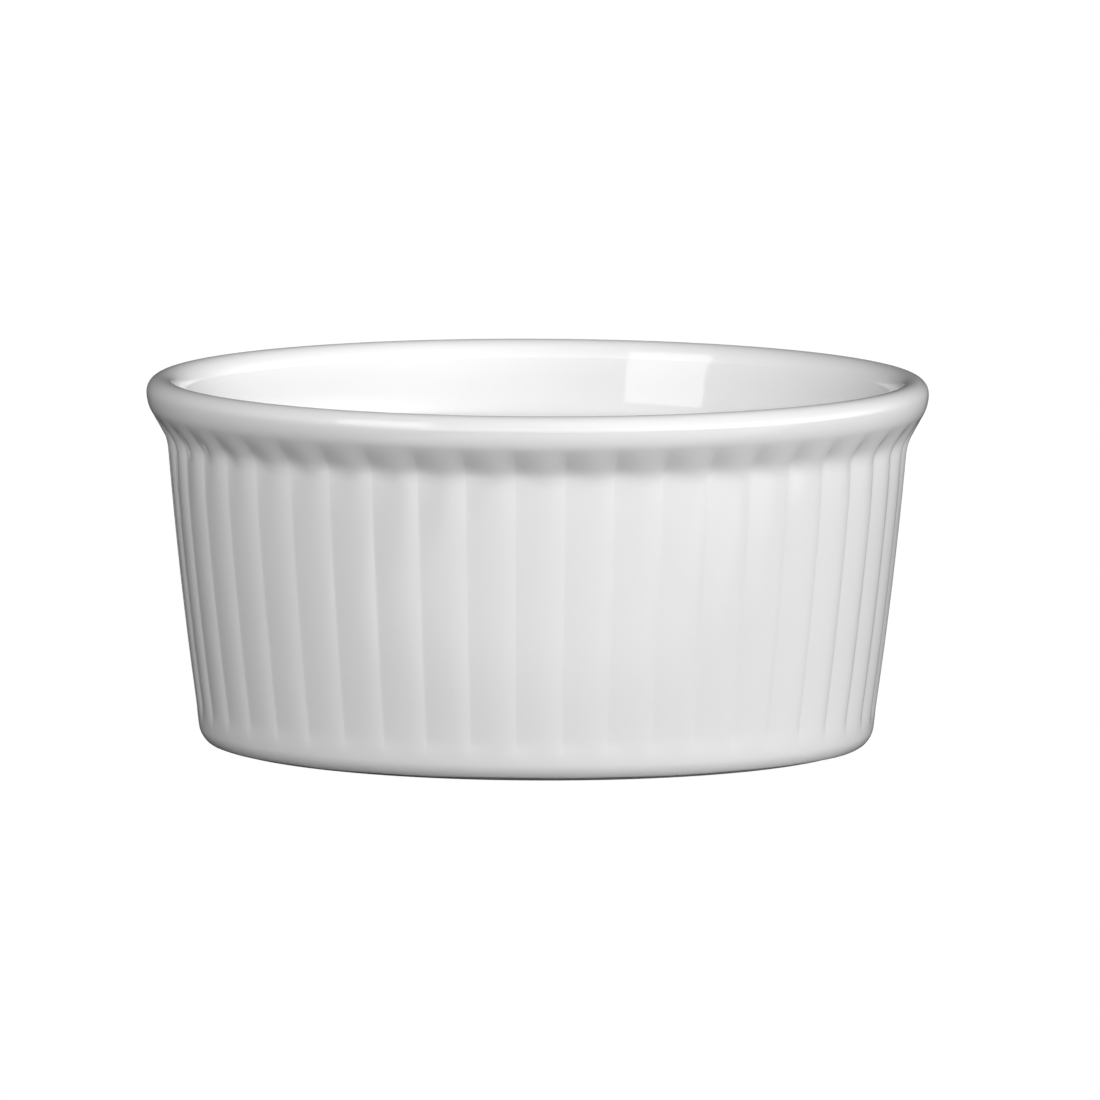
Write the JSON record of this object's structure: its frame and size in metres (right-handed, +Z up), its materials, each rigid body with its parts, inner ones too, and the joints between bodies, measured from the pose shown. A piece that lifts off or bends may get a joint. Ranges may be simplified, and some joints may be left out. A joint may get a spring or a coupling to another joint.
{
  "type": "ramekin",
  "caption": "Round white glazed porcelain ramekin with a finely ribbed, tapered wall, flared rounded lip and a bare foot ring; bakes and serves one small portion.",
  "frame": {"origin": "centre of the dish's round footprint, on the table", "axes": "+Z up the dish's axis towards the open mouth, a rib's crown is on -Y"},
  "size_m": [0.09, 0.09, 0.0423],
  "materials": {
    "bare_porcelain": "bare fired clay, matte, seen only on the foot ring",
    "white_glaze": "clear-white glossy glaze"
  },
  "bodies": {
    "root": {"porcelain_body": "bare_porcelain", "glaze_coat": "white_glaze", "base_glaze": "white_glaze"}
  },
  "joints": []
}
